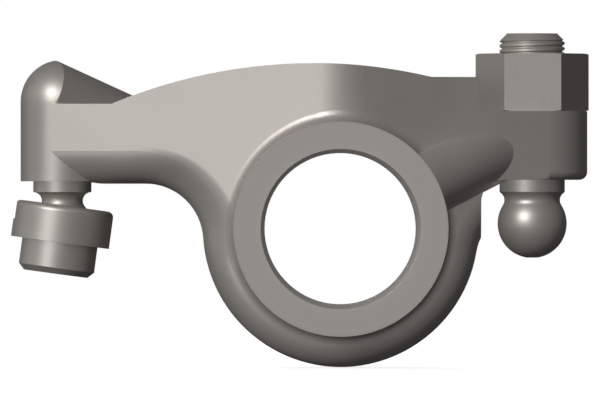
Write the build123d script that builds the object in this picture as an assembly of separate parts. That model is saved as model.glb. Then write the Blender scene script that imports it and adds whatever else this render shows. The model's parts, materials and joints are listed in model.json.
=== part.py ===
from build123d import *
import os
from math import asin, atan2, cos, hypot, radians, sin, sqrt, tan

# Valve-train rocker arm for an overhead-valve engine. Millimetres, +Z up.
# The rocker shaft runs along Y and the origin is the centre of its bore.
# The valve side points to -X, the push-rod side to +X.

# Shaft bore and hub
bore_diameter = 28.0
bore_chamfer = 0.6
hub_radius = 19.6
hub_half_length = 26.5
hub_fillet = 2.1

# Forged body seen from the side (X and Z)
barrel_radius = 25.22
crown_radius = 95.7
crown_x = -5.1
crown_top = 30.29
valve_arm_top = 22.92
valve_arm_under = 8.3
push_arm_top = 27.8
push_forged_under = 3.85
valve_throat_radius = 10.6
push_throat_radius = 9.6
flank_round = 6.0

# Forged body seen from above: two flat flanks each side, rounded where they meet
ridge_x = -0.2
ridge_half_width = 22.4
ridge_round = 15.0

# Valve-side boss, with its domed oil gallery
valve_x = -51.1
valve_boss_radius = 7.66
valve_seat = 8.75
valve_seat_radius = 6.3
valve_seat_runout = 2.0
dome_centre_z = 23.4
valve_gallery_radius = 6.4
valve_gallery_heading = 29.9

# Push-rod-side boss, with its oil gallery
push_x = 35.2
push_boss_radius = 10.13
push_boss_round = 1.5
nut_seat = 21.6
nut_clearance_radius = 17.1
nut_clearance_corner = 3.7
push_seat = 9.0
push_relief_x = 25.7
push_relief_corner = 4.0
push_gallery_radius = 5.85
push_gallery_heading = 45.0
push_gallery_z = 17.9

# Oil drillings
oil_hole_radius = 1.5
fine_oil_hole_radius = 1.0

# Ball pin, pressed into the valve-side boss
pin_shank_radius = 4.0
pin_shank_length = 11.0
pin_shank_chamfer = 0.5
pin_collar_radius = 5.35
pin_collar_height = 2.0
pin_neck_arc = 1.58
pin_ball_radius = 5.36
pin_hole_spare = 2.0
drill_point_angle = 118.0

# Swivel foot, held on the ball pin
foot_tilt = 7.75
foot_socket_clearance = 0.06
foot_top = 3.55
foot_skirt = 3.25
foot_bottom = 9.05
foot_radius = 9.08
foot_sole_radius = 6.98
foot_top_round = 1.1
foot_sole_chamfer = 1.1
foot_mouth_height = 2.3
foot_mouth_flare = 32.0
foot_flat_depth = 0.3

# Adjusting screw, M12, with a ball end for the push-rod cup
screw_radius = 6.0
thread_clearance = 0.05
screw_top = 35.9
screw_chamfer = 1.4
screw_collar_height = 2.4
screw_collar_chamfer = 0.2
screw_neck_arc = 1.6
screw_neck_radius = 5.1
screw_ball_radius = 6.35
hex_key_size = 6.0
hex_key_depth = 6.0
oil_groove_depth = 0.8
oil_groove_width = 9.0

# Lock nut, M12
nut_across_flats = 18.0
nut_height = 10.6
nut_face_radius = 9.75
nut_face_angle = 15.0
nut_countersink = 0.7

# Worked out from the sizes above
bore_radius = bore_diameter / 2
valve_gallery_slope = dome_centre_z / -valve_x
push_gallery_slope = push_gallery_z / push_x

# Reach of cutters and blanks, longer than any piece
far = 3 * crown_radius

# Two places closer than this are the same place
touch = 0.01


def flank_touch(boss_x, boss_radius):
    """Point where the flat front flank runs tangent into a boss."""
    reach = hypot(boss_x - ridge_x, ridge_half_width)
    turn = asin(boss_radius / reach)
    side = 1 if boss_x < ridge_x else -1
    heading = atan2(ridge_half_width, boss_x - ridge_x) + side * turn
    run = sqrt(reach**2 - boss_radius**2)
    return ridge_x + run * cos(heading), -ridge_half_width + run * sin(heading)


def plan_block():
    """Body outline from above, through its whole height."""
    valve_touch = flank_touch(valve_x, valve_boss_radius)
    push_touch = flank_touch(push_x, push_boss_radius)
    front = [valve_touch, (ridge_x, -ridge_half_width), push_touch]
    back = [(x, -y) for x, y in reversed(front)]
    outline = make_face(Polyline(*front, *back, close=True))
    ridges = outline.vertices().filter_by(lambda v: abs(v.X - ridge_x) < touch)
    return extrude(fillet(ridges, ridge_round), amount=far / 2, both=True)


def crown_end(height, side):
    """X where the curved top comes down to a height."""
    rise = height - (crown_top - crown_radius)
    return crown_x + side * sqrt(crown_radius**2 - rise**2)


def throat_centre(side, radius, under):
    """Centre of the concave round between the barrel and an arm's underside."""
    reach = barrel_radius + radius
    height = under - radius
    return Vector(side * sqrt(reach**2 - height**2), height)


def side_block():
    """Body outline from the side, through its whole width."""
    left = -far / 2
    right = far / 2
    crown_left = (crown_end(valve_arm_top, -1), valve_arm_top)
    crown_right = (crown_end(push_arm_top, 1), push_arm_top)
    valve_round = valve_throat_radius
    push_round = min(push_throat_radius, push_x - barrel_radius)
    valve_throat = throat_centre(-1, valve_round, valve_arm_under)
    push_throat = throat_centre(1, push_round, push_forged_under)
    valve_meet = valve_throat.normalized() * barrel_radius
    push_meet = push_throat.normalized() * barrel_radius
    with BuildSketch(Plane.XZ) as outline:
        with BuildLine():
            Polyline(
                (valve_throat.X, valve_arm_under),
                (left, valve_arm_under),
                (left, valve_arm_top),
                crown_left,
            )
            ThreePointArc(crown_left, (crown_x, crown_top), crown_right)
            Polyline(
                crown_right,
                (right, push_arm_top),
                (right, push_forged_under),
                (push_throat.X, push_forged_under),
            )
            RadiusArc((push_throat.X, push_forged_under), push_meet, -push_round)
            ThreePointArc(push_meet, (0, -barrel_radius), valve_meet)
            RadiusArc(valve_meet, (valve_throat.X, valve_arm_under), -valve_round)
        make_face()
    return extrude(outline.sketch, amount=far / 2, both=True)


def on_one_side(edge):
    """True for an edge that stays in front of or behind the middle plane."""
    return (edge @ 0).Y * (edge @ 1).Y > 0


def rounded_body():
    """Forged body with its lower front and back edges rounded."""
    block = plan_block() & side_block()
    lower = [face for face in block.faces() if face.normal_at().Z < -touch]
    edges = [edge for face in lower for edge in face.edges() if on_one_side(edge)]
    return fillet(edges, flank_round)


def on_y(radius, half_length):
    """Cylinder about the shaft axis."""
    return extrude(Plane.XZ * Circle(radius), amount=half_length, both=True)


def hub_on(body):
    """Adds the hub and its concave root fillets."""
    joined = body + on_y(hub_radius, hub_half_length)
    rounds = joined.faces().filter_by(GeomType.CYLINDER)
    walls = [face for face in rounds if abs(face.radius - hub_radius) < touch]
    edges = [edge for wall in walls for edge in wall.edges() if edge.geom_type != GeomType.LINE]
    roots = [edge for edge in edges if abs(edge.center().Y) < hub_half_length - touch]
    return fillet(roots, hub_fillet)


def gallery_direction(slope, heading, side):
    """Unit vector from a boss down to the bore axis along its oil gallery."""
    along = -side * cos(radians(heading))
    across = -side * sin(radians(heading))
    return Vector(along, across, -slope * abs(along)).normalized()


def rod_between(start, end, radius):
    """Solid round rod between two points."""
    run = end - start
    return extrude(Plane(origin=start, z_dir=run) * Circle(radius), amount=run.length)


def upright(x, radius, low, high):
    """Cylinder along Z, centred on y = 0."""
    return Pos(x, 0, low) * extrude(Circle(radius), amount=high - low)


def valve_boss():
    """Upright boss and the domed end of its oil gallery."""
    centre = Vector(valve_x, 0, dome_centre_z)
    direction = gallery_direction(valve_gallery_slope, valve_gallery_heading, -1)
    post = upright(valve_x, valve_boss_radius, valve_seat, valve_arm_top)
    neck = upright(valve_x, valve_boss_radius, valve_arm_top, dome_centre_z)
    ball = Pos(*centre) * Sphere(valve_boss_radius)
    over_top = upright(valve_x, far, valve_arm_top, far)
    slanted = rod_between(centre - direction * far, centre + direction * far, valve_gallery_radius)
    return post + ((neck + (ball & over_top)) & slanted)


def gallery_boss(start, direction, radius):
    """Solid boss round an oil gallery, ending at the hub's face."""
    mouth = start + direction * (hub_half_length + 2 * radius) / abs(direction.Y)
    between_faces = Box(far, 2 * hub_half_length, far)
    return rod_between(start, mouth, radius) & between_faces


def push_boss():
    """Upright boss for the adjusting screw."""
    boss = upright(push_x, push_boss_radius, push_seat, push_arm_top)
    return fillet(boss.edges().sort_by(Axis.Z)[0], push_boss_round)


def push_relief():
    """Milled clearance under the push-rod arm."""
    wall_top = (push_relief_x, push_seat - push_relief_corner)
    roof_start = (push_relief_x + push_relief_corner, push_seat)
    with BuildSketch(Plane.XZ) as outline:
        with BuildLine():
            Polyline(wall_top, (push_relief_x, -far), (far, -far), (far, push_seat), roof_start)
            RadiusArc(roof_start, wall_top, -push_relief_corner)
        make_face()
    return extrude(outline.sketch, amount=far, both=True)


def nut_spot_face():
    """Round pocket that lets the lock nut and its spanner turn."""
    pocket = upright(push_x, nut_clearance_radius, nut_seat, far)
    return fillet(pocket.edges().sort_by(Axis.Z)[0], nut_clearance_corner)


def valve_spot_face():
    """Shallow machined seat for the ball pin's collar."""
    outer = valve_seat_radius + valve_seat_runout
    drop = valve_seat - valve_arm_under
    seat = Cone(outer, valve_seat_radius, drop, align=(Align.CENTER, Align.CENTER, Align.MIN))
    return Pos(valve_x, 0, valve_arm_under) * seat


def pin_hole():
    """Blind hole for the ball pin, with a drilled point."""
    top = valve_seat + pin_shank_length + pin_hole_spare
    drill_point = pin_shank_radius / tan(radians(drill_point_angle / 2))
    point = Cone(pin_shank_radius, 0, drill_point, align=(Align.CENTER, Align.CENTER, Align.MIN))
    return upright(valve_x, pin_shank_radius, 0, top) + Pos(valve_x, 0, top) * point


def oil_drilling(start, direction):
    """Slanted oil hole from a boss into the bore and on through its open mouth."""
    return rod_between(start, start + direction * far, oil_hole_radius)


def shaft_bore():
    """Cutter for the shaft bore and the chamfers at its two mouths."""
    flare = bore_radius + 2 * bore_chamfer
    past = hub_half_length + bore_chamfer
    with BuildSketch(Plane.XY) as outline:
        Polygon(
            (0, -past),
            (flare, -past),
            (bore_radius, bore_chamfer - hub_half_length),
            (bore_radius, hub_half_length - bore_chamfer),
            (flare, past),
            (0, past),
            align=None,
        )
    return revolve(outline.sketch, Axis.Y)


def build_arm():
    """One forging with its machined bores, seats and oil drillings."""
    valve_centre = Vector(valve_x, 0, dome_centre_z)
    push_centre = Vector(push_x, 0, push_gallery_z)
    valve_direction = gallery_direction(valve_gallery_slope, valve_gallery_heading, -1)
    push_direction = gallery_direction(push_gallery_slope, push_gallery_heading, 1)
    arm = hub_on(rounded_body()) - push_relief()
    arm += valve_boss() + gallery_boss(valve_centre, valve_direction, valve_gallery_radius)
    arm += push_boss() + gallery_boss(push_centre, push_direction, push_gallery_radius)
    arm -= nut_spot_face()
    arm -= valve_spot_face()
    arm -= shaft_bore()
    arm -= upright(push_x, screw_radius + thread_clearance, 0, push_arm_top)
    arm -= pin_hole()
    arm -= oil_drilling(valve_centre, valve_direction)
    arm -= oil_drilling(push_centre, push_direction)
    return arm


def ball_end(collar_under, collar_radius, arc, neck_radius, ball_radius):
    """Heights and meeting point of a collar's concave neck that runs tangent into a ball."""
    hollow_x = neck_radius + arc
    rise = sqrt(arc**2 - (hollow_x - collar_radius) ** 2)
    drop = sqrt((ball_radius + arc) ** 2 - hollow_x**2)
    hollow_z = collar_under - rise
    ball_z = hollow_z - drop
    share = ball_radius / (ball_radius + arc)
    return ball_z, hollow_z, (hollow_x * share, ball_z + drop * share)


def pin_ball_end():
    """Ball height, neck height and meeting point of the ball pin."""
    under = valve_seat - pin_collar_height
    neck_radius = pin_collar_radius - pin_neck_arc
    return ball_end(under, pin_collar_radius, pin_neck_arc, neck_radius, pin_ball_radius)


def build_pin():
    """Turned ball pin: shank, collar, neck and ball, with an oil hole."""
    neck_radius = pin_collar_radius - pin_neck_arc
    ball_z, hollow_z, meet = pin_ball_end()
    top = (pin_collar_radius, valve_seat - pin_collar_height)
    shank_top = valve_seat + pin_shank_length
    with BuildSketch(Plane.XZ) as outline:
        with BuildLine():
            ThreePointArc((0, ball_z - pin_ball_radius), (pin_ball_radius, ball_z), meet)
            ThreePointArc(meet, (neck_radius, hollow_z), top)
            Polyline(
                top,
                (pin_collar_radius, valve_seat),
                (pin_shank_radius, valve_seat),
                (pin_shank_radius, shank_top - pin_shank_chamfer),
                (pin_shank_radius - pin_shank_chamfer, shank_top),
                (0, shank_top),
                (0, ball_z - pin_ball_radius),
            )
        make_face()
    pin = revolve(outline.sketch, Axis.Z)
    pin -= upright(0, fine_oil_hole_radius, -far, far)
    return Pos(valve_x, 0, 0) * pin


def build_foot():
    """Swivel foot: a socket spun round the pin's ball, with a flat sole."""
    socket = pin_ball_radius + foot_socket_clearance
    mouth = sqrt(socket**2 - foot_mouth_height**2)
    flare = mouth + (foot_top - foot_mouth_height) * tan(radians(foot_mouth_flare))
    rim = (foot_radius, foot_top - foot_top_round)
    rim_top = (foot_radius - foot_top_round, foot_top)
    with BuildSketch(Plane.XZ) as outline:
        with BuildLine():
            Polyline(
                (0, -socket),
                (0, -foot_bottom),
                (foot_sole_radius - foot_sole_chamfer, -foot_bottom),
                (foot_sole_radius, foot_sole_chamfer - foot_bottom),
                (foot_sole_radius, -foot_skirt),
                (foot_radius, -foot_skirt),
                rim,
            )
            RadiusArc(rim, rim_top, -foot_top_round)
            Polyline(rim_top, (flare, foot_top), (mouth, foot_mouth_height))
            ThreePointArc((mouth, foot_mouth_height), (socket, 0), (0, -socket))
        make_face()
    foot = revolve(outline.sketch, Axis.Z)
    foot -= upright(0, fine_oil_hole_radius, -far, 0)
    flat = Box(far, far, far, align=(Align.MAX, Align.CENTER, Align.MIN))
    foot -= Pos(foot_flat_depth - foot_radius, 0, 0) * flat
    ball_z = pin_ball_end()[0]
    return Pos(valve_x, 0, ball_z) * Rot(0, foot_tilt, 0) * foot


def build_screw():
    """Adjusting screw: threaded shank, key socket, oil groove, neck and ball."""
    under = push_seat - screw_collar_height
    collar = screw_radius - screw_collar_chamfer
    ball_z, hollow_z, meet = ball_end(under, collar, screw_neck_arc, screw_neck_radius, screw_ball_radius)
    top = (collar, under)
    groove_low = push_gallery_z - oil_groove_width / 2
    groove_high = push_gallery_z + oil_groove_width / 2
    groove_radius = screw_radius - oil_groove_depth
    with BuildSketch(Plane.XZ) as outline:
        with BuildLine():
            ThreePointArc((0, ball_z - screw_ball_radius), (screw_ball_radius, ball_z), meet)
            ThreePointArc(meet, (screw_neck_radius, hollow_z), top)
            Polyline(
                top,
                (screw_radius, under + screw_collar_chamfer),
                (screw_radius, groove_low),
                (groove_radius, groove_low + oil_groove_depth),
                (groove_radius, groove_high - oil_groove_depth),
                (screw_radius, groove_high),
                (screw_radius, screw_top - screw_chamfer),
                (screw_radius - screw_chamfer, screw_top),
                (0, screw_top),
                (0, ball_z - screw_ball_radius),
            )
        make_face()
    screw = revolve(outline.sketch, Axis.Z)
    key = RegularPolygon(hex_key_size / 2, 6, major_radius=False, rotation=30)
    screw -= Pos(0, 0, screw_top - hex_key_depth) * extrude(key, amount=far)
    screw -= upright(0, fine_oil_hole_radius, -far, push_gallery_z)
    cross = Plane.YZ * Circle(oil_hole_radius)
    screw -= Pos(0, 0, push_gallery_z) * extrude(cross, amount=far, both=True)
    return Pos(push_x, 0, 0) * screw


def build_nut():
    """Hexagon lock nut, chamfered and countersunk on both faces."""
    bore = screw_radius + thread_clearance
    rim = nut_face_radius + nut_height / (2 * tan(radians(nut_face_angle)))
    with BuildSketch(Plane.XZ) as outline:
        Polygon(
            (bore, nut_countersink),
            (bore + nut_countersink, 0),
            (nut_face_radius, 0),
            (rim, nut_height / 2),
            (nut_face_radius, nut_height),
            (bore + nut_countersink, nut_height),
            (bore, nut_height - nut_countersink),
            align=None,
        )
    blank = revolve(outline.sketch, Axis.Z)
    hexagon = extrude(RegularPolygon(nut_across_flats / 2, 6, major_radius=False), amount=nut_height)
    return Pos(push_x, 0, nut_seat) * (blank & hexagon)


pieces = {
    "rocker_arm": build_arm(),
    "ball_pin": build_pin(),
    "swivel_foot": build_foot(),
    "adjusting_screw": build_screw(),
    "lock_nut": build_nut(),
}
os.makedirs("parts", exist_ok=True)
for name, piece in pieces.items():
    export_step(piece, f"parts/{name}.step")
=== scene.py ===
import json
import math

import bpy
from mathutils import Matrix, Vector


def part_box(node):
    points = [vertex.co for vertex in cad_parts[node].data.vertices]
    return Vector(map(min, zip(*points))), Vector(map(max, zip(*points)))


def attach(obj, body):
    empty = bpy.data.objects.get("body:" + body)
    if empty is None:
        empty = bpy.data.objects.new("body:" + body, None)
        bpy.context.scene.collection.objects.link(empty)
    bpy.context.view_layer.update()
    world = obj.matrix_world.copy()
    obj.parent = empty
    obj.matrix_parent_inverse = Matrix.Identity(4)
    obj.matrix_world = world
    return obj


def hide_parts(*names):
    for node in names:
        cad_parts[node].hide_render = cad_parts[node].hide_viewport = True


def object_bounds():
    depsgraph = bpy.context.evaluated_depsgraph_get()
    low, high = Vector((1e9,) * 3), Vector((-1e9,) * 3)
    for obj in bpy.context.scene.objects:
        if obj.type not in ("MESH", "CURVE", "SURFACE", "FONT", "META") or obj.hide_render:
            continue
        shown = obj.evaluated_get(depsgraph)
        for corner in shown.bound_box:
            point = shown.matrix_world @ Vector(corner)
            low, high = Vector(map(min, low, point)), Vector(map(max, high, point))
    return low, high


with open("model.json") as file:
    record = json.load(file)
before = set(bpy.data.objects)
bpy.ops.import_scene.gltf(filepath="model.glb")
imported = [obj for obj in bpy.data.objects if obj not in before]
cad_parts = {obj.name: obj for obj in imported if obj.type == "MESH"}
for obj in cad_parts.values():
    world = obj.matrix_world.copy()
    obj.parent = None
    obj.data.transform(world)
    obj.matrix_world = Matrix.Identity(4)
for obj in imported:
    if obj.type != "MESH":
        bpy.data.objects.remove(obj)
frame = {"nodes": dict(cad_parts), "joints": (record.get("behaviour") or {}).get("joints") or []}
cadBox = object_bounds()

mm = 0.001
nodes = frame["nodes"]
joints = {joint["name"]: joint for joint in frame["joints"]}
footCentre = Vector(joints["foot_tilt"]["pos_m"])  # middle of the ball that the foot swivels on
nutCentre = Vector(joints["lock_nut_turn"]["pos_m"])
print("frame:", ", ".join(sorted(nodes)))


# camera, lamps and surroundings

camera = {
    "lens": 900.0,
    "sensor": 36.0,
    "framePixels": 600,
    "pixelsPerMm": 5.444,
    "centre": (-7.44 * mm, 0.0, 5.31 * mm),
    "clipNear": 0.5,  # shares of the distance
    "clipFar": 2.0,
}

lamps = {
    "keyTurn": -30.5,  # degrees left of the camera
    "keyRise": 23.7,  # degrees above it
    "keyStrength": 2.40,
    "keyAngle": 6.5,
    "shadowShare": 0.06,  # part of the key that casts shadows
    "shadowAngle": 25.0,
    "backTurn": 190.0,  # from behind, seen only in matt light
    "backRise": 20.0,
    "backStrength": 1.6,
    "backAngle": 20.0,
    "sideTurn": -95.0,  # weak, from the left, on the faces that the key only grazes
    "sideRise": 10.0,
    "sideStrength": 0.10,
    "sideAngle": 30.0,
}

surroundings = {
    "level": 0.115,
    "slope": (-0.017, -0.054, 0.040),  # how the level grows along X, Y and Z
    "white": 1.0,
    "backdropInner": 5.0,  # degrees off +Y within which glossy rays see the white backdrop
    "backdropOuter": 12.0,
}

floor = {
    "size": 1.6,
    "gap": 0.2 * mm,
    "colour": (0.9, 0.9, 0.9),
    "topUp": 0.58,  # added for the camera, so that the lit floor is white and a shadow still shows
}


def addCamera(values):
    data = bpy.data.cameras.new("camera")
    data.lens = values["lens"]
    data.sensor_width = values["sensor"]
    widthSeen = values["framePixels"] / values["pixelsPerMm"] * mm
    distance = values["lens"] / values["sensor"] * widthSeen
    data.clip_start = values["clipNear"] * distance
    data.clip_end = values["clipFar"] * distance
    holder = bpy.data.objects.new("camera", data)
    bpy.context.scene.collection.objects.link(holder)
    holder.location = Vector(values["centre"]) - Vector((0, distance, 0))
    holder.rotation_euler = (math.pi / 2, 0, 0)
    bpy.context.scene.camera = holder


def addSun(name, turn, rise, strength, angle):
    turn = math.radians(turn)
    rise = math.radians(rise)
    data = bpy.data.lights.new(name, "SUN")
    data.energy = strength
    data.angle = math.radians(angle)
    holder = bpy.data.objects.new(name, data)
    bpy.context.scene.collection.objects.link(holder)
    across = math.cos(rise)
    source = Vector((math.sin(turn) * across, -math.cos(turn) * across, math.sin(rise)))
    holder.rotation_mode = "QUATERNION"
    holder.rotation_quaternion = source.to_track_quat("Z", "Y")
    return holder


def addLamps(values):
    turn, rise = values["keyTurn"], values["keyRise"]
    strength = values["keyStrength"]
    share = values["shadowShare"]
    key = addSun("keyLamp", turn, rise, strength * (1 - share), values["keyAngle"])
    key.data.use_shadow = False
    addSun("shadowLamp", turn, rise, strength * share, values["shadowAngle"])
    turn, rise = values["backTurn"], values["backRise"]
    back = addSun("backLamp", turn, rise, values["backStrength"], values["backAngle"])
    back.visible_glossy = False
    turn, rise = values["sideTurn"], values["sideRise"]
    side = addSun("sideLamp", turn, rise, values["sideStrength"], values["sideAngle"])
    side.data.use_shadow = False


# an output is linked, and a number or colour is set on the socket itself
def feed(tree, socket, value):
    if isinstance(value, bpy.types.NodeSocket):
        tree.links.new(value, socket)
    else:
        socket.default_value = value


def mathOf(tree, operation, *values, clamp=False):
    node = tree.nodes.new("ShaderNodeMath")
    node.operation = operation
    node.use_clamp = clamp
    for socket, value in zip(node.inputs, values):
        feed(tree, socket, value)
    return node.outputs["Value"]


def times(tree, first, *others):
    for value in others:
        first = mathOf(tree, "MULTIPLY", first, value)
    return first


def vectorOf(tree, operation, *values):
    node = tree.nodes.new("ShaderNodeVectorMath")
    node.operation = operation
    for socket, value in zip(node.inputs, values):
        feed(tree, socket, value)
    return node.outputs["Value" if operation in ("DOT_PRODUCT", "LENGTH") else "Vector"]


def splitOf(tree, vector):
    node = tree.nodes.new("ShaderNodeSeparateXYZ")
    tree.links.new(vector, node.inputs["Vector"])
    return node.outputs["X"], node.outputs["Z"]


# from low at start to high at end, flat outside
def ramp(tree, value, start, end, low=0.0, high=1.0):
    node = tree.nodes.new("ShaderNodeMapRange")
    node.interpolation_type = "SMOOTHSTEP"
    feed(tree, node.inputs["Value"], value)
    for name, number in (("From Min", start), ("From Max", end), ("To Min", low), ("To Max", high)):
        feed(tree, node.inputs[name], number)
    return node.outputs["Result"]


def addSurroundings(values):
    world = bpy.data.worlds.new("studio")
    bpy.context.scene.world = world
    world.use_nodes = True
    tree = world.node_tree
    tree.nodes.clear()
    output = tree.nodes.new("ShaderNodeOutputWorld")
    mix = tree.nodes.new("ShaderNodeMixShader")
    dim = tree.nodes.new("ShaderNodeBackground")
    white = tree.nodes.new("ShaderNodeBackground")
    path = tree.nodes.new("ShaderNodeLightPath")
    heading = tree.nodes.new("ShaderNodeTexCoord").outputs["Generated"]
    slope = vectorOf(tree, "DOT_PRODUCT", heading, values["slope"])
    level = mathOf(tree, "ADD", slope, values["level"])
    dim.inputs["Color"].default_value = (1, 1, 1, 1)
    feed(tree, dim.inputs["Strength"], mathOf(tree, "MAXIMUM", level, 0.0))
    white.inputs["Color"].default_value = (1, 1, 1, 1)
    white.inputs["Strength"].default_value = values["white"]
    behind = ramp(
        tree,
        vectorOf(tree, "DOT_PRODUCT", heading, (0, 1, 0)),
        math.cos(math.radians(values["backdropOuter"])),
        math.cos(math.radians(values["backdropInner"])),
    )
    mirrored = mathOf(tree, "ADD", path.outputs["Is Glossy Ray"], path.outputs["Is Transmission Ray"])
    backdrop = times(tree, mirrored, behind)
    seen = mathOf(tree, "ADD", path.outputs["Is Camera Ray"], backdrop, clamp=True)
    tree.links.new(seen, mix.inputs["Fac"])
    tree.links.new(dim.outputs["Background"], mix.inputs[1])
    tree.links.new(white.outputs["Background"], mix.inputs[2])
    tree.links.new(mix.outputs["Shader"], output.inputs["Surface"])


def addFloor(values):
    bpy.ops.object.select_all(action="DESELECT")
    height = cadBox[0][2] - values["gap"]
    bpy.ops.mesh.primitive_plane_add(size=values["size"], location=(0, 0, height))
    plane = bpy.context.object
    plane.name = "floor"
    material = bpy.data.materials.new("paleFloor")
    material.use_nodes = True
    tree = material.node_tree
    tree.nodes.clear()
    output = tree.nodes.new("ShaderNodeOutputMaterial")
    both = tree.nodes.new("ShaderNodeAddShader")
    matt = tree.nodes.new("ShaderNodeBsdfDiffuse")
    glow = tree.nodes.new("ShaderNodeEmission")
    path = tree.nodes.new("ShaderNodeLightPath")
    matt.inputs["Color"].default_value = (*values["colour"], 1)
    feed(tree, glow.inputs["Strength"], times(tree, path.outputs["Is Camera Ray"], values["topUp"]))
    tree.links.new(matt.outputs["BSDF"], both.inputs[0])
    tree.links.new(glow.outputs["Emission"], both.inputs[1])
    # the floor is clear from below, so that the underside can be seen
    oneSided = tree.nodes.new("ShaderNodeMixShader")
    facing = tree.nodes.new("ShaderNodeNewGeometry")
    tree.links.new(facing.outputs["Backfacing"], oneSided.inputs["Fac"])
    tree.links.new(both.outputs["Shader"], oneSided.inputs[1])
    clear = tree.nodes.new("ShaderNodeBsdfTransparent")
    tree.links.new(clear.outputs["BSDF"], oneSided.inputs[2])
    tree.links.new(oneSided.outputs["Shader"], output.inputs["Surface"])
    plane.data.materials.append(material)
    plane.visible_diffuse = False
    plane.visible_glossy = False


bpy.context.scene.view_settings.view_transform = "Standard"
addCamera(camera)
addLamps(lamps)
addSurroundings(surroundings)
addFloor(floor)
print("stage: camera, lamps, surroundings and floor")


# steel finishes

steel = {
    "colour": (0.433, 0.403, 0.373),
    "metallic": 0.61,
    "roughness": 0.467,
    "edgeRadius": 0.05 * mm,
    "edgeSamples": 6,
    "wearAndHighlightReach": 0.2 * mm,
    "wearAndHighlightFrom": 0.995,  # cosines of the turn from the flat normal to the rounded one
    "wearAndHighlightTo": 0.9,
    # how much lighter the edges are painted: partly wear, partly a painted highlight
    "wearAndHighlightShade": 0.05,
    "wearPolish": 0.04,
    "noiseLow": 0.25,  # most of a noise lies between these
    "noiseHigh": 0.75,
}

forged = {
    "grain": 0.55 * mm,
    "grainDetail": 3.0,
    "grainDepth": 0.006 * mm,
    "waves": 6.0 * mm,
    "waveDepth": 0.006 * mm,
    "blotch": 14.0 * mm,
    "blotchDetail": 4.0,
    "shade": 0.05,
    "roughnessSpread": 0.07,
}

turned = {
    "spacing": 0.16 * mm,
    "depth": 0.0012 * mm,
    "shade": 0.03,
    "roughnessSpread": 0.05,
}

drawn = {
    "stretch": 0.03,  # the nut's flats are drawn along Z, so their marks are long that way
    "endsFrom": 0.05,  # how far a face has to look up or down to be a turned end
    "endsTo": 0.2,
}

# where the forging is machined, measured from the axis or plane that each zone belongs to
machined = {
    "hubFace": 26.45 * mm,
    "bore": 14.7 * mm,
    "pocket": 17.2 * mm,
    "pocketFloor": 21.5 * mm,
    "seat": 8.35 * mm,
    "seatTop": 8.8 * mm,
    "reliefWall": 25.6 * mm,
    "reliefRoof": 9.05 * mm,
    "flanksFrom": 0.1,  # faces that look this far along Y are forged flanks, not milled ones
    "flanksTo": 0.05,
    "border": 0.05 * mm,
}

softEdges = {
    "domeRadius": 1.3 * mm,  # round at the foot of the dome
    "domeFoot": 22.92 * mm,
    "domeLine": 0.05 * mm,
    "domeReach": 1.4 * mm,
    "domeEnd": -41.0 * mm,
    "heelRadius": 1.5 * mm,  # round under the push-rod boss, which fades into the flanks
    "heelStart": 36.2 * mm,
    "heelFadeIn": 2.4 * mm,
    "heelEnd": 40.6 * mm,
    "heelFadeOut": 1.2 * mm,
    "heelTop": 10.6 * mm,
    "heelTopFade": 0.2 * mm,
}

throat = {
    "centre": (-35.75 * mm, 0.0, -2.3 * mm),  # where the valve arm's underside turns into the barrel
    "inner": 12.2 * mm,
    "outer": 17.3 * mm,
    "rise": 0.9 * mm,
    "hubEdge": 19.65 * mm,
    "hubFade": 0.3 * mm,
    "start": (100.0, 65.0),  # degrees over +X, where the wider round fades in and out
    "end": (-24.0, -5.0),
}


def startSteel(name):
    material = bpy.data.materials.new(name)
    material.use_nodes = True
    tree = material.node_tree
    shader = tree.nodes["Principled BSDF"]
    shader.inputs["Metallic"].default_value = steel["metallic"]
    return material, tree, shader, tree.nodes.new("ShaderNodeTexCoord").outputs


def noise(tree, position, size, detail=2.0, dimensions="3D"):
    node = tree.nodes.new("ShaderNodeTexNoise")
    node.noise_dimensions = dimensions
    node.inputs["Scale"].default_value = 1 / size
    node.inputs["Detail"].default_value = detail
    tree.links.new(position, node.inputs["Vector"])
    return node.outputs["Fac"]


# distance from an axis, and height along it
def aroundAxis(tree, position, centre, axis):
    offset = vectorOf(tree, "SUBTRACT", position, centre)
    height = vectorOf(tree, "DOT_PRODUCT", offset, axis)
    node = tree.nodes.new("ShaderNodeVectorMath")
    node.operation = "SCALE"
    node.inputs[0].default_value = axis
    tree.links.new(height, node.inputs["Scale"])
    radius = vectorOf(tree, "LENGTH", vectorOf(tree, "SUBTRACT", offset, node.outputs["Vector"]))
    return radius, height


# fine rings about the axis, from a noise of distance and height
def toolRings(tree, radius, height, spacing):
    node = tree.nodes.new("ShaderNodeCombineXYZ")
    tree.links.new(radius, node.inputs["X"])
    tree.links.new(height, node.inputs["Y"])
    return noise(tree, node.outputs["Vector"], spacing, dimensions="2D")


def blend(tree, factor, first, second):
    node = tree.nodes.new("ShaderNodeMix")
    feed(tree, node.inputs["Factor"], factor)
    feed(tree, node.inputs["A"], first)
    feed(tree, node.inputs["B"], second)
    return node.outputs["Result"]


# spreads a noise evenly about a middle value
def varied(tree, pattern, middle, spread):
    low, high = middle - spread / 2, middle + spread / 2
    return ramp(tree, pattern, steel["noiseLow"], steel["noiseHigh"], low, high)


def bevelled(tree, radius):
    node = tree.nodes.new("ShaderNodeBevel")
    node.samples = steel["edgeSamples"]
    feed(tree, node.inputs["Radius"], radius)
    return node.outputs["Normal"]


def bumped(tree, height, strength, normal):
    node = tree.nodes.new("ShaderNodeBump")
    node.inputs["Distance"].default_value = 1.0
    feed(tree, node.inputs["Strength"], strength)
    feed(tree, node.inputs["Height"], height)
    feed(tree, node.inputs["Normal"], normal)
    return node.outputs["Normal"]
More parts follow.
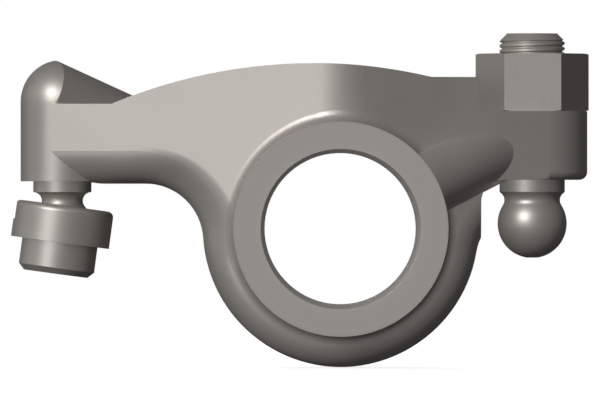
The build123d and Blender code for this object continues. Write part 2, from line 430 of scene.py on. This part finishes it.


# wear and a painted highlight show where the rounded normal turns away from the flat one: there the
# edges are painted lighter and made smoother
def finishSteel(tree, shader, shade, roughness, height, edge):
    flat = tree.nodes.new("ShaderNodeNewGeometry").outputs["Normal"]
    turnedAway = vectorOf(tree, "DOT_PRODUCT", bevelled(tree, steel["wearAndHighlightReach"]), flat)
    wornAndHighlit = ramp(tree, turnedAway, steel["wearAndHighlightFrom"], steel["wearAndHighlightTo"])
    # painted highlight with wear: the edges are painted lighter
    shade = mathOf(tree, "MULTIPLY_ADD", wornAndHighlit, steel["wearAndHighlightShade"], shade)
    roughness = mathOf(tree, "MULTIPLY_ADD", wornAndHighlit, -steel["wearPolish"], roughness)
    colour = tree.nodes.new("ShaderNodeVectorMath")
    colour.operation = "SCALE"
    colour.inputs[0].default_value = steel["colour"]
    tree.links.new(shade, colour.inputs["Scale"])
    tree.links.new(colour.outputs["Vector"], shader.inputs["Base Color"])
    tree.links.new(roughness, shader.inputs["Roughness"])
    tree.links.new(bumped(tree, height, 1.0, edge), shader.inputs["Normal"])


def turnedSteel(name, centre, axis):
    material, tree, shader, coordinates = startSteel(name)
    radius, height = aroundAxis(tree, coordinates["Object"], centre, axis)
    rings = toolRings(tree, radius, height, turned["spacing"])
    shade = varied(tree, rings, 1.0, turned["shade"])
    roughness = varied(tree, rings, steel["roughness"], turned["roughnessSpread"])
    depth = times(tree, rings, turned["depth"])
    finishSteel(tree, shader, shade, roughness, depth, bevelled(tree, steel["edgeRadius"]))
    return material


def nutSteel(name, centre):
    material, tree, shader, coordinates = startSteel(name)
    position, normal = coordinates["Object"], coordinates["Normal"]
    radius, height = aroundAxis(tree, position, centre, (0, 0, 1))
    rings = toolRings(tree, radius, height, turned["spacing"])
    flat = tree.nodes.new("ShaderNodeMapping")
    flat.inputs["Scale"].default_value = (1, 1, drawn["stretch"])
    tree.links.new(position, flat.inputs["Vector"])
    streaks = noise(tree, flat.outputs["Vector"], turned["spacing"])
    upright = mathOf(tree, "ABSOLUTE", vectorOf(tree, "DOT_PRODUCT", normal, (0, 0, 1)))
    onEnds = ramp(tree, upright, drawn["endsFrom"], drawn["endsTo"])
    marks = blend(tree, onEnds, streaks, rings)
    shade = varied(tree, marks, 1.0, turned["shade"])
    roughness = varied(tree, marks, steel["roughness"], turned["roughnessSpread"])
    depth = times(tree, marks, turned["depth"])
    finishSteel(tree, shader, shade, roughness, depth, bevelled(tree, steel["edgeRadius"]))
    return material


# where the arm is machined, and the marks that the tools left there
def machinedZones(tree, position, normal):
    border = machined["border"]
    x, z = splitOf(tree, position)
    boreRadius, boreHeight = aroundAxis(tree, position, (0, 0, 0), (0, 1, 0))
    screwRadius, screwHeight = aroundAxis(tree, position, nutCentre, (0, 0, 1))
    pinRadius, pinHeight = aroundAxis(tree, position, footCentre, (0, 0, 1))
    sideways = mathOf(tree, "ABSOLUTE", boreHeight)
    onHubFace = ramp(tree, sideways, machined["hubFace"] - border, machined["hubFace"])
    inBore = ramp(tree, boreRadius, machined["bore"] + border, machined["bore"])
    onHub = mathOf(tree, "MAXIMUM", onHubFace, inBore)
    nearNut = ramp(tree, screwRadius, machined["pocket"] + border, machined["pocket"])
    aboveFloor = ramp(tree, z, machined["pocketFloor"] - border, machined["pocketFloor"])
    inPocket = times(tree, nearNut, aboveFloor)
    nearPin = ramp(tree, pinRadius, machined["seat"] + border, machined["seat"])
    underTop = ramp(tree, z, machined["seatTop"] + border, machined["seatTop"])
    onSeat = times(tree, nearPin, underTop)
    pastWall = ramp(tree, x, machined["reliefWall"] - border, machined["reliefWall"])
    underRoof = ramp(tree, z, machined["reliefRoof"] + border, machined["reliefRoof"])
    facing = mathOf(tree, "ABSOLUTE", vectorOf(tree, "DOT_PRODUCT", normal, (0, 1, 0)))
    offFlanks = ramp(tree, facing, machined["flanksFrom"], machined["flanksTo"])
    inRelief = times(tree, pastWall, underRoof, offFlanks)
    spacing = turned["spacing"]
    marks = toolRings(tree, x, z, spacing)
    marks = blend(tree, onSeat, marks, toolRings(tree, pinRadius, pinHeight, spacing))
    marks = blend(tree, inPocket, marks, toolRings(tree, screwRadius, screwHeight, spacing))
    marks = blend(tree, onHub, marks, toolRings(tree, boreRadius, boreHeight, spacing))
    zone = onHub
    for mask in (inPocket, onSeat, inRelief):
        zone = mathOf(tree, "MAXIMUM", zone, mask)
    return zone, marks


# the reach of the rounded normal: wider at the foot of the dome and under the push-rod boss
def softEdge(tree, position):
    x, z = splitOf(tree, position)
    above = mathOf(tree, "SUBTRACT", z, softEdges["domeFoot"])
    low = ramp(tree, above, softEdges["domeReach"], 0.0)
    offLine = ramp(tree, above, 0.0, softEdges["domeLine"])
    byDome = ramp(tree, x, softEdges["domeEnd"], softEdges["domeEnd"] - softEdges["domeReach"])
    atDome = times(tree, low, offLine, byDome)
    started = ramp(tree, x, softEdges["heelStart"], softEdges["heelStart"] + softEdges["heelFadeIn"])
    ended = ramp(tree, x, softEdges["heelEnd"], softEdges["heelEnd"] - softEdges["heelFadeOut"])
    under = ramp(tree, z, softEdges["heelTop"], softEdges["heelTop"] - softEdges["heelTopFade"])
    atHeel = times(tree, started, ended, under)
    radius = blend(tree, atDome, steel["edgeRadius"], softEdges["domeRadius"])
    return blend(tree, atHeel, radius, softEdges["heelRadius"])


# leans the normal as a wider round would, about the middle of the throat
def throatRound(tree, position, normal):
    fromThroat = aroundAxis(tree, position, throat["centre"], (0, 1, 0))[0]
    height = ramp(tree, fromThroat, throat["inner"], throat["outer"], 0.0, throat["rise"])
    x, z = splitOf(tree, vectorOf(tree, "SUBTRACT", position, throat["centre"]))
    heading = mathOf(tree, "ARCTAN2", z, x)
    started = ramp(tree, heading, *[math.radians(turn) for turn in throat["start"]])
    ended = ramp(tree, heading, *[math.radians(turn) for turn in throat["end"]])
    fromBore = aroundAxis(tree, position, (0, 0, 0), (0, 1, 0))[0]
    offHub = ramp(tree, fromBore, throat["hubEdge"], throat["hubEdge"] + throat["hubFade"])
    return bumped(tree, height, times(tree, started, ended, offHub), normal)


def forgedSteel(name):
    material, tree, shader, coordinates = startSteel(name)
    position, normal = coordinates["Object"], coordinates["Normal"]
    zone, marks = machinedZones(tree, position, normal)
    grain = noise(tree, position, forged["grain"], forged["grainDetail"])
    waves = noise(tree, position, forged["waves"])
    blotch = noise(tree, position, forged["blotch"], forged["blotchDetail"])
    rough = varied(tree, blotch, steel["roughness"], forged["roughnessSpread"])
    smooth = varied(tree, marks, steel["roughness"], turned["roughnessSpread"])
    mottled = varied(tree, blotch, 1.0, forged["shade"])
    even = varied(tree, marks, 1.0, turned["shade"])
    grainHeight = times(tree, grain, forged["grainDepth"])
    waveHeight = times(tree, waves, forged["waveDepth"])
    skin = mathOf(tree, "ADD", grainHeight, waveHeight)
    shade = blend(tree, zone, mottled, even)
    roughness = blend(tree, zone, rough, smooth)
    depth = blend(tree, zone, skin, times(tree, marks, turned["depth"]))
    edge = throatRound(tree, position, bevelled(tree, softEdge(tree, position)))
    finishSteel(tree, shader, shade, roughness, depth, edge)
    return material


def dress(piece, material):
    piece.data.materials.clear()
    piece.data.materials.append(material)


foot = {
    "tilt": 7.75,  # degrees at which it hangs
}
footAxis = Matrix.Rotation(math.radians(foot["tilt"]), 3, "Y") @ Vector((0, 0, 1))
dress(nodes["rocker_arm"], forgedSteel("forgedSteel"))
dress(nodes["ball_pin"], turnedSteel("pinSteel", footCentre, (0, 0, 1)))
dress(nodes["swivel_foot"], turnedSteel("footSteel", footCentre, footAxis))
dress(nodes["lock_nut"], nutSteel("nutSteel", nutCentre))
print("finishes: forged arm, turned pin and foot, hexagon nut")


# adjusting screw with its thread

thread = {
    "pitch": 1.0 * mm,
    "majorRadius": 6.0 * mm,
    "depth": 0.42,  # of the pitch
    "crestFlat": 0.38,  # of the pitch
    "flankAngle": 30.0,
    "spare": 0.06 * mm,  # how far the cutter stands out past the crests
    "low": 9.6 * mm,  # the lowest turn, inside the boss
    "stepsPerTurn": 64,
    "sharpAngle": 28.0,
    "weld": 0.0005 * mm,
}


# a wedge-shaped profile wound up the screw, to be cut away from it
def threadCutter(values):
    pitch = values["pitch"]
    minor = values["majorRadius"] - values["depth"] * pitch
    outer = values["majorRadius"] + values["spare"]
    slope = math.tan(math.radians(values["flankAngle"]))
    wide = pitch * (1 - values["crestFlat"]) + 2 * values["spare"] * slope
    narrow = wide - 2 * (outer - minor) * slope
    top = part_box("adjusting_screw")[1].z + pitch
    turns = math.ceil((top - values["low"]) / pitch)
    bpy.ops.object.select_all(action="DESELECT")
    bpy.ops.mesh.primitive_plane_add(size=1, location=(0, 0, 0), rotation=(math.pi / 2, 0, 0))
    cutter = bpy.context.object
    cutter.name = "threadCutter"
    bpy.ops.object.transform_apply(location=False, rotation=True, scale=False)
    bpy.ops.object.mode_set(mode="EDIT")
    bpy.ops.mesh.select_all(action="SELECT")
    bpy.ops.transform.resize(value=(outer - minor, 1, wide))
    bpy.ops.transform.translate(value=((outer + minor) / 2, 0, 0))
    bpy.ops.mesh.delete(type="ONLY_FACE")
    bpy.ops.mesh.select_all(action="DESELECT")
    bpy.ops.object.mode_set(mode="OBJECT")
    for point in cutter.data.vertices:
        point.select = point.co.x < (outer + minor) / 2
    bpy.ops.object.mode_set(mode="EDIT")
    bpy.ops.transform.resize(value=(1, 1, narrow / wide))
    bpy.ops.object.mode_set(mode="OBJECT")
    spiral = cutter.modifiers.new("spiral", "SCREW")
    spiral.axis = "Z"
    spiral.screw_offset = pitch
    spiral.iterations = turns
    spiral.steps = values["stepsPerTurn"]
    spiral.render_steps = values["stepsPerTurn"]
    bpy.ops.object.modifier_apply(modifier="spiral")
    bpy.ops.object.mode_set(mode="EDIT")
    bpy.ops.mesh.select_all(action="SELECT")
    bpy.ops.mesh.fill_holes(sides=0)
    bpy.ops.mesh.select_all(action="SELECT")
    bpy.ops.mesh.normals_make_consistent(inside=False)
    bpy.ops.object.mode_set(mode="OBJECT")
    cutter.location = (nutCentre.x, nutCentre.y, values["low"])
    return cutter


def threadedScrew(values):
    cutter = threadCutter(values)
    piece = bpy.data.objects.new("threadedScrew", nodes["adjusting_screw"].data.copy())
    bpy.context.scene.collection.objects.link(piece)
    bpy.ops.object.select_all(action="DESELECT")
    piece.select_set(True)
    bpy.context.view_layer.objects.active = piece
    bpy.ops.mesh.customdata_custom_splitnormals_clear()
    bpy.ops.object.mode_set(mode="EDIT")
    bpy.ops.mesh.select_all(action="SELECT")
    bpy.ops.mesh.remove_doubles(threshold=values["weld"])
    bpy.ops.object.mode_set(mode="OBJECT")
    cut = piece.modifiers.new("thread", "BOOLEAN")
    cut.operation = "DIFFERENCE"
    cut.solver = "EXACT"
    cut.object = cutter
    bpy.ops.object.modifier_apply(modifier="thread")
    bpy.data.objects.remove(cutter)
    bpy.ops.object.mode_set(mode="EDIT")
    bpy.ops.mesh.select_all(action="SELECT")
    bpy.ops.mesh.dissolve_degenerate(threshold=values["weld"])
    bpy.ops.object.mode_set(mode="OBJECT")
    bpy.ops.object.shade_smooth_by_angle(angle=math.radians(values["sharpAngle"]))
    dress(piece, turnedSteel("screwSteel", nutCentre, (0, 0, 1)))
    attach(piece, "screw")
    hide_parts("adjusting_screw")
    return piece


screw = threadedScrew(thread)
print("adjusting screw:", len(screw.data.polygons), "faces with its thread")
